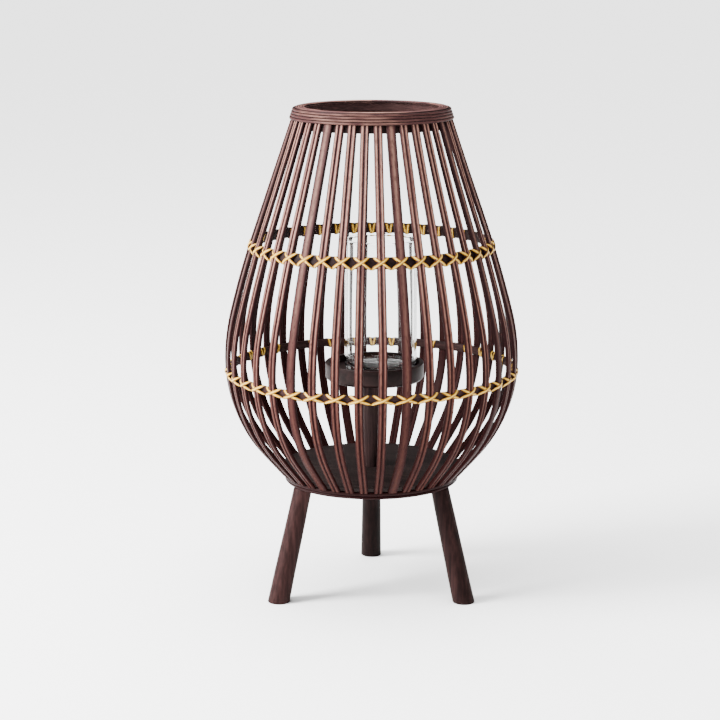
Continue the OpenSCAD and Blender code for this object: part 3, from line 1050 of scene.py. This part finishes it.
def make_legs():
    """The legs, each drawn up from its foot. Their stain comes in lit and shaded copies, as painted light
    and shade: the left one is the palest and the back one the darkest."""
    pale, dark = (0.0245, 0.0104, 0.0098), (0.0090, 0.0037, 0.0035)
    # Painted light and shade: each leg's colours and rubbing are scaled by how lit it is, the left lit, the
    # back in shade
    for node, light in (("leg_left", 1.15), ("leg_right", 0.66), ("leg_back", 0.32)):
        turn, (top, foot) = leg_ends(node)
        r0, w0, h0, z0 = foot
        clear()
        bpy.ops.mesh.primitive_circle_add(vertices=ROD_SIDES, radius=1, fill_type="NGON",
                                          location=(r0, 0, z0))
        leg = settle("turned_" + node, (h0, w0, 1))
        edit_all()
        for i in range(1, LEG_CUTS + 1):
            t = i / LEG_CUTS
            r, w, h, z = (a + (b - a) * t for a, b in zip(foot, top))
            bpy.ops.mesh.extrude_region_move(TRANSFORM_OT_translate={"value": (r - r0, 0, z - z0)})
            bpy.ops.transform.resize(value=(h / h0, w / w0, 1), center_override=(r, 0, z))
            r0, w0, h0, z0 = r, w, h, z
        leave_edit()
        closed(leg)
        leg.data.transform(Matrix.Rotation(turn, 4, "Z"))
        ease(leg, width=0.9 * MM, segments=3, degrees=40)
        waver(leg, strength=0.8 * MM, size=0.07)
        for v in leg.data.vertices:
            v.co.z = max(v.co.z, 0.0)
        smooth(leg, degrees=40)
        stain = rod_stain("stained_" + node, scaled(pale, light), scaled(dark, light), wear_and_light=light)
        finish(leg, stain, "leg_wood", node)


def make_post():
    """The round post between the board and the tray."""
    low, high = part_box("post")
    r = (high.x - low.x) / 2
    outline = [(r, low.z + (high.z - low.z) * i / POST_CUTS) for i in range(POST_CUTS + 1)]
    post = turned("round_post", outline, ROD_SIDES)
    waver(post, strength=0.4 * MM, size=0.06)
    smooth(post, degrees=40)
    pale, dark = (0.0340, 0.0196, 0.0192), (0.0145, 0.0083, 0.0082)
    stain = rod_stain("stained_post", pale, dark, wear_and_light=0.85)
    finish(post, stain, "post_wood", "post")


def make_tray():
    """The tray, turned to the outline of its CAD node, which is off the middle."""
    low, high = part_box("tray")
    middle = (low.x + high.x) / 2
    r = (high.x - low.x) / 2
    outline = [(math.hypot(v.co.x - middle, v.co.y), v.co.z) for v in NODES["tray"].data.vertices]
    flat_r = max(p[0] for p in outline if abs(p[1] - low.z) < 0.01 * MM)
    bevel_z = min(p[1] for p in outline if abs(p[0] - r) < 0.02 * MM)
    floor_z = max(p[1] for p in outline if p[0] > r * 0.8 and p[1] < high.z - 1 * MM)
    inner_r = max(p[0] for p in outline if abs(p[1] - floor_z) < 0.02 * MM)
    tray = turned("turned_tray", [(flat_r, low.z), (r, bevel_z), (r, high.z), (inner_r, high.z),
                                  (inner_r, floor_z)])
    tray.data.transform(Matrix.Translation((middle, 0, 0)))
    ease(tray, width=0.6 * MM, segments=3, degrees=30)
    smooth(tray, degrees=30)
    finish(tray, tray_stain("stained_tray", middle), "tray_wood", "tray")


def make_glass():
    """The glass, turned in one outline: its underside, foot, outer wall, lip, inner wall and
    bottom."""
    low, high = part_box("glass_cylinder")
    r = (high.x - low.x) / 2
    top = high.z
    inner = r - GLASS_WALL
    lip = GLASS_WALL / 2 + GLASS_LIP
    quarter = [i / 8 * QUARTER for i in range(9)]
    half = [i / 10 * math.pi for i in range(11)]
    outline = [(at * MM, low.z + rise * MM) for at, rise in GLASS_UNDERSIDE]
    outline += [(r - GLASS_FOOT + GLASS_FOOT * math.sin(a), low.z + GLASS_FOOT - GLASS_FOOT * math.cos(a))
                for a in quarter]
    outline.append((r, low.z + GLASS_WAIST))
    outline += [(r, top - down) for down in GLASS_NECK]
    outline += [(r - GLASS_WALL / 2 + lip * math.cos(a), top - lip + lip * math.sin(a)) for a in half]
    outline += [(inner, top - down) for down in reversed(GLASS_NECK)]
    outline.append((inner, low.z + GLASS_WAIST))
    outline += [(inner - GLASS_INNER_FOOT + GLASS_INNER_FOOT * math.cos(a),
                 low.z + GLASS_BOTTOM + GLASS_INNER_FOOT - GLASS_INNER_FOOT * math.sin(a))
                for a in quarter]
    outline += [(at * MM, low.z + GLASS_BOTTOM - dip * MM) for at, dip in GLASS_DIP]
    glass = turned("glass_chimney", outline, GLASS_SIDES)
    glass.data.transform(Matrix.Translation(((low.x + high.x) / 2, 0, 0)))
    smooth(glass, degrees=60)
    finish(glass, clear_glass("clear_polished_glass"), "clear_glass", "glass_cylinder", body="glass")


def finish_hidden():
    """The dowels keep their CAD shape, in bare beech."""
    beech = bare_beech("bare_beech")
    for node in ("leg_dowels", "post_dowels"):
        mesh = NODES[node].data
        mesh.materials.clear()
        mesh.materials.append(beech)


# ---------------------------------------------------------------- floor, light and camera

def light_at(name, kind, place, aim, power, **settings):
    """A lamp at a place, aimed at a point."""
    lamp = bpy.data.lights.new(name, kind)
    lamp.energy = power
    for key, value in settings.items():
        setattr(lamp, key, value)
    obj = bpy.data.objects.new(name, lamp)
    obj.location = place
    obj.rotation_euler = (Vector(aim) - Vector(place)).to_track_quat("-Z", "Y").to_euler()
    bpy.context.scene.collection.objects.link(obj)


def make_stage():
    """The pale floor, the even light of the world, a wide soft light and a key light."""
    clear()
    bpy.ops.mesh.primitive_circle_add(vertices=64, radius=FLOOR_R, fill_type="NGON",
                                      location=(0, 0, -FLOOR_DROP))
    floor = settle("floor")
    s = Stain("pale_floor")
    floor.data.materials.append(s.set(colour=(0.93, 0.93, 0.93), rough=0.8, specular=0.0))
    world = bpy.data.worlds.new("studio")
    world.use_nodes = True
    background = world.node_tree.nodes["Background"]
    background.inputs["Color"].default_value = (1, 1, 1, 1)
    background.inputs["Strength"].default_value = WORLD_LIGHT
    bpy.context.scene.world = world
    light_at("overhead_soft", "SUN", SOFT_PLACE, LIT_POINT, SOFT_POWER, angle=SOFT_SPREAD)
    light_at("key_left", "AREA", KEY_PLACE, LIT_POINT, KEY_POWER, shape="RECTANGLE",
             size=KEY_SIZE[0], size_y=KEY_SIZE[1])


def make_camera():
    """The camera in front, looking a little down."""
    camera = bpy.data.cameras.new("camera")
    camera.sensor_width = CAMERA_SENSOR
    camera.lens = CAMERA_LENS
    camera.clip_end = 2 * FLOOR_R
    obj = bpy.data.objects.new("camera", camera)
    obj.location = (0, -CAMERA_DISTANCE, CAMERA_HEIGHT)
    obj.rotation_euler = (QUARTER - CAMERA_DOWN, 0, CAMERA_LEFT)
    bpy.context.scene.collection.objects.link(obj)
    bpy.context.scene.camera = obj


make_camera()
make_stage()
make_splints()
make_rim_outside()
make_rim_top()
make_bands()
make_edge_strands()
make_lashing()
make_board()
make_legs()
make_post()
make_tray()
make_glass()
finish_hidden()
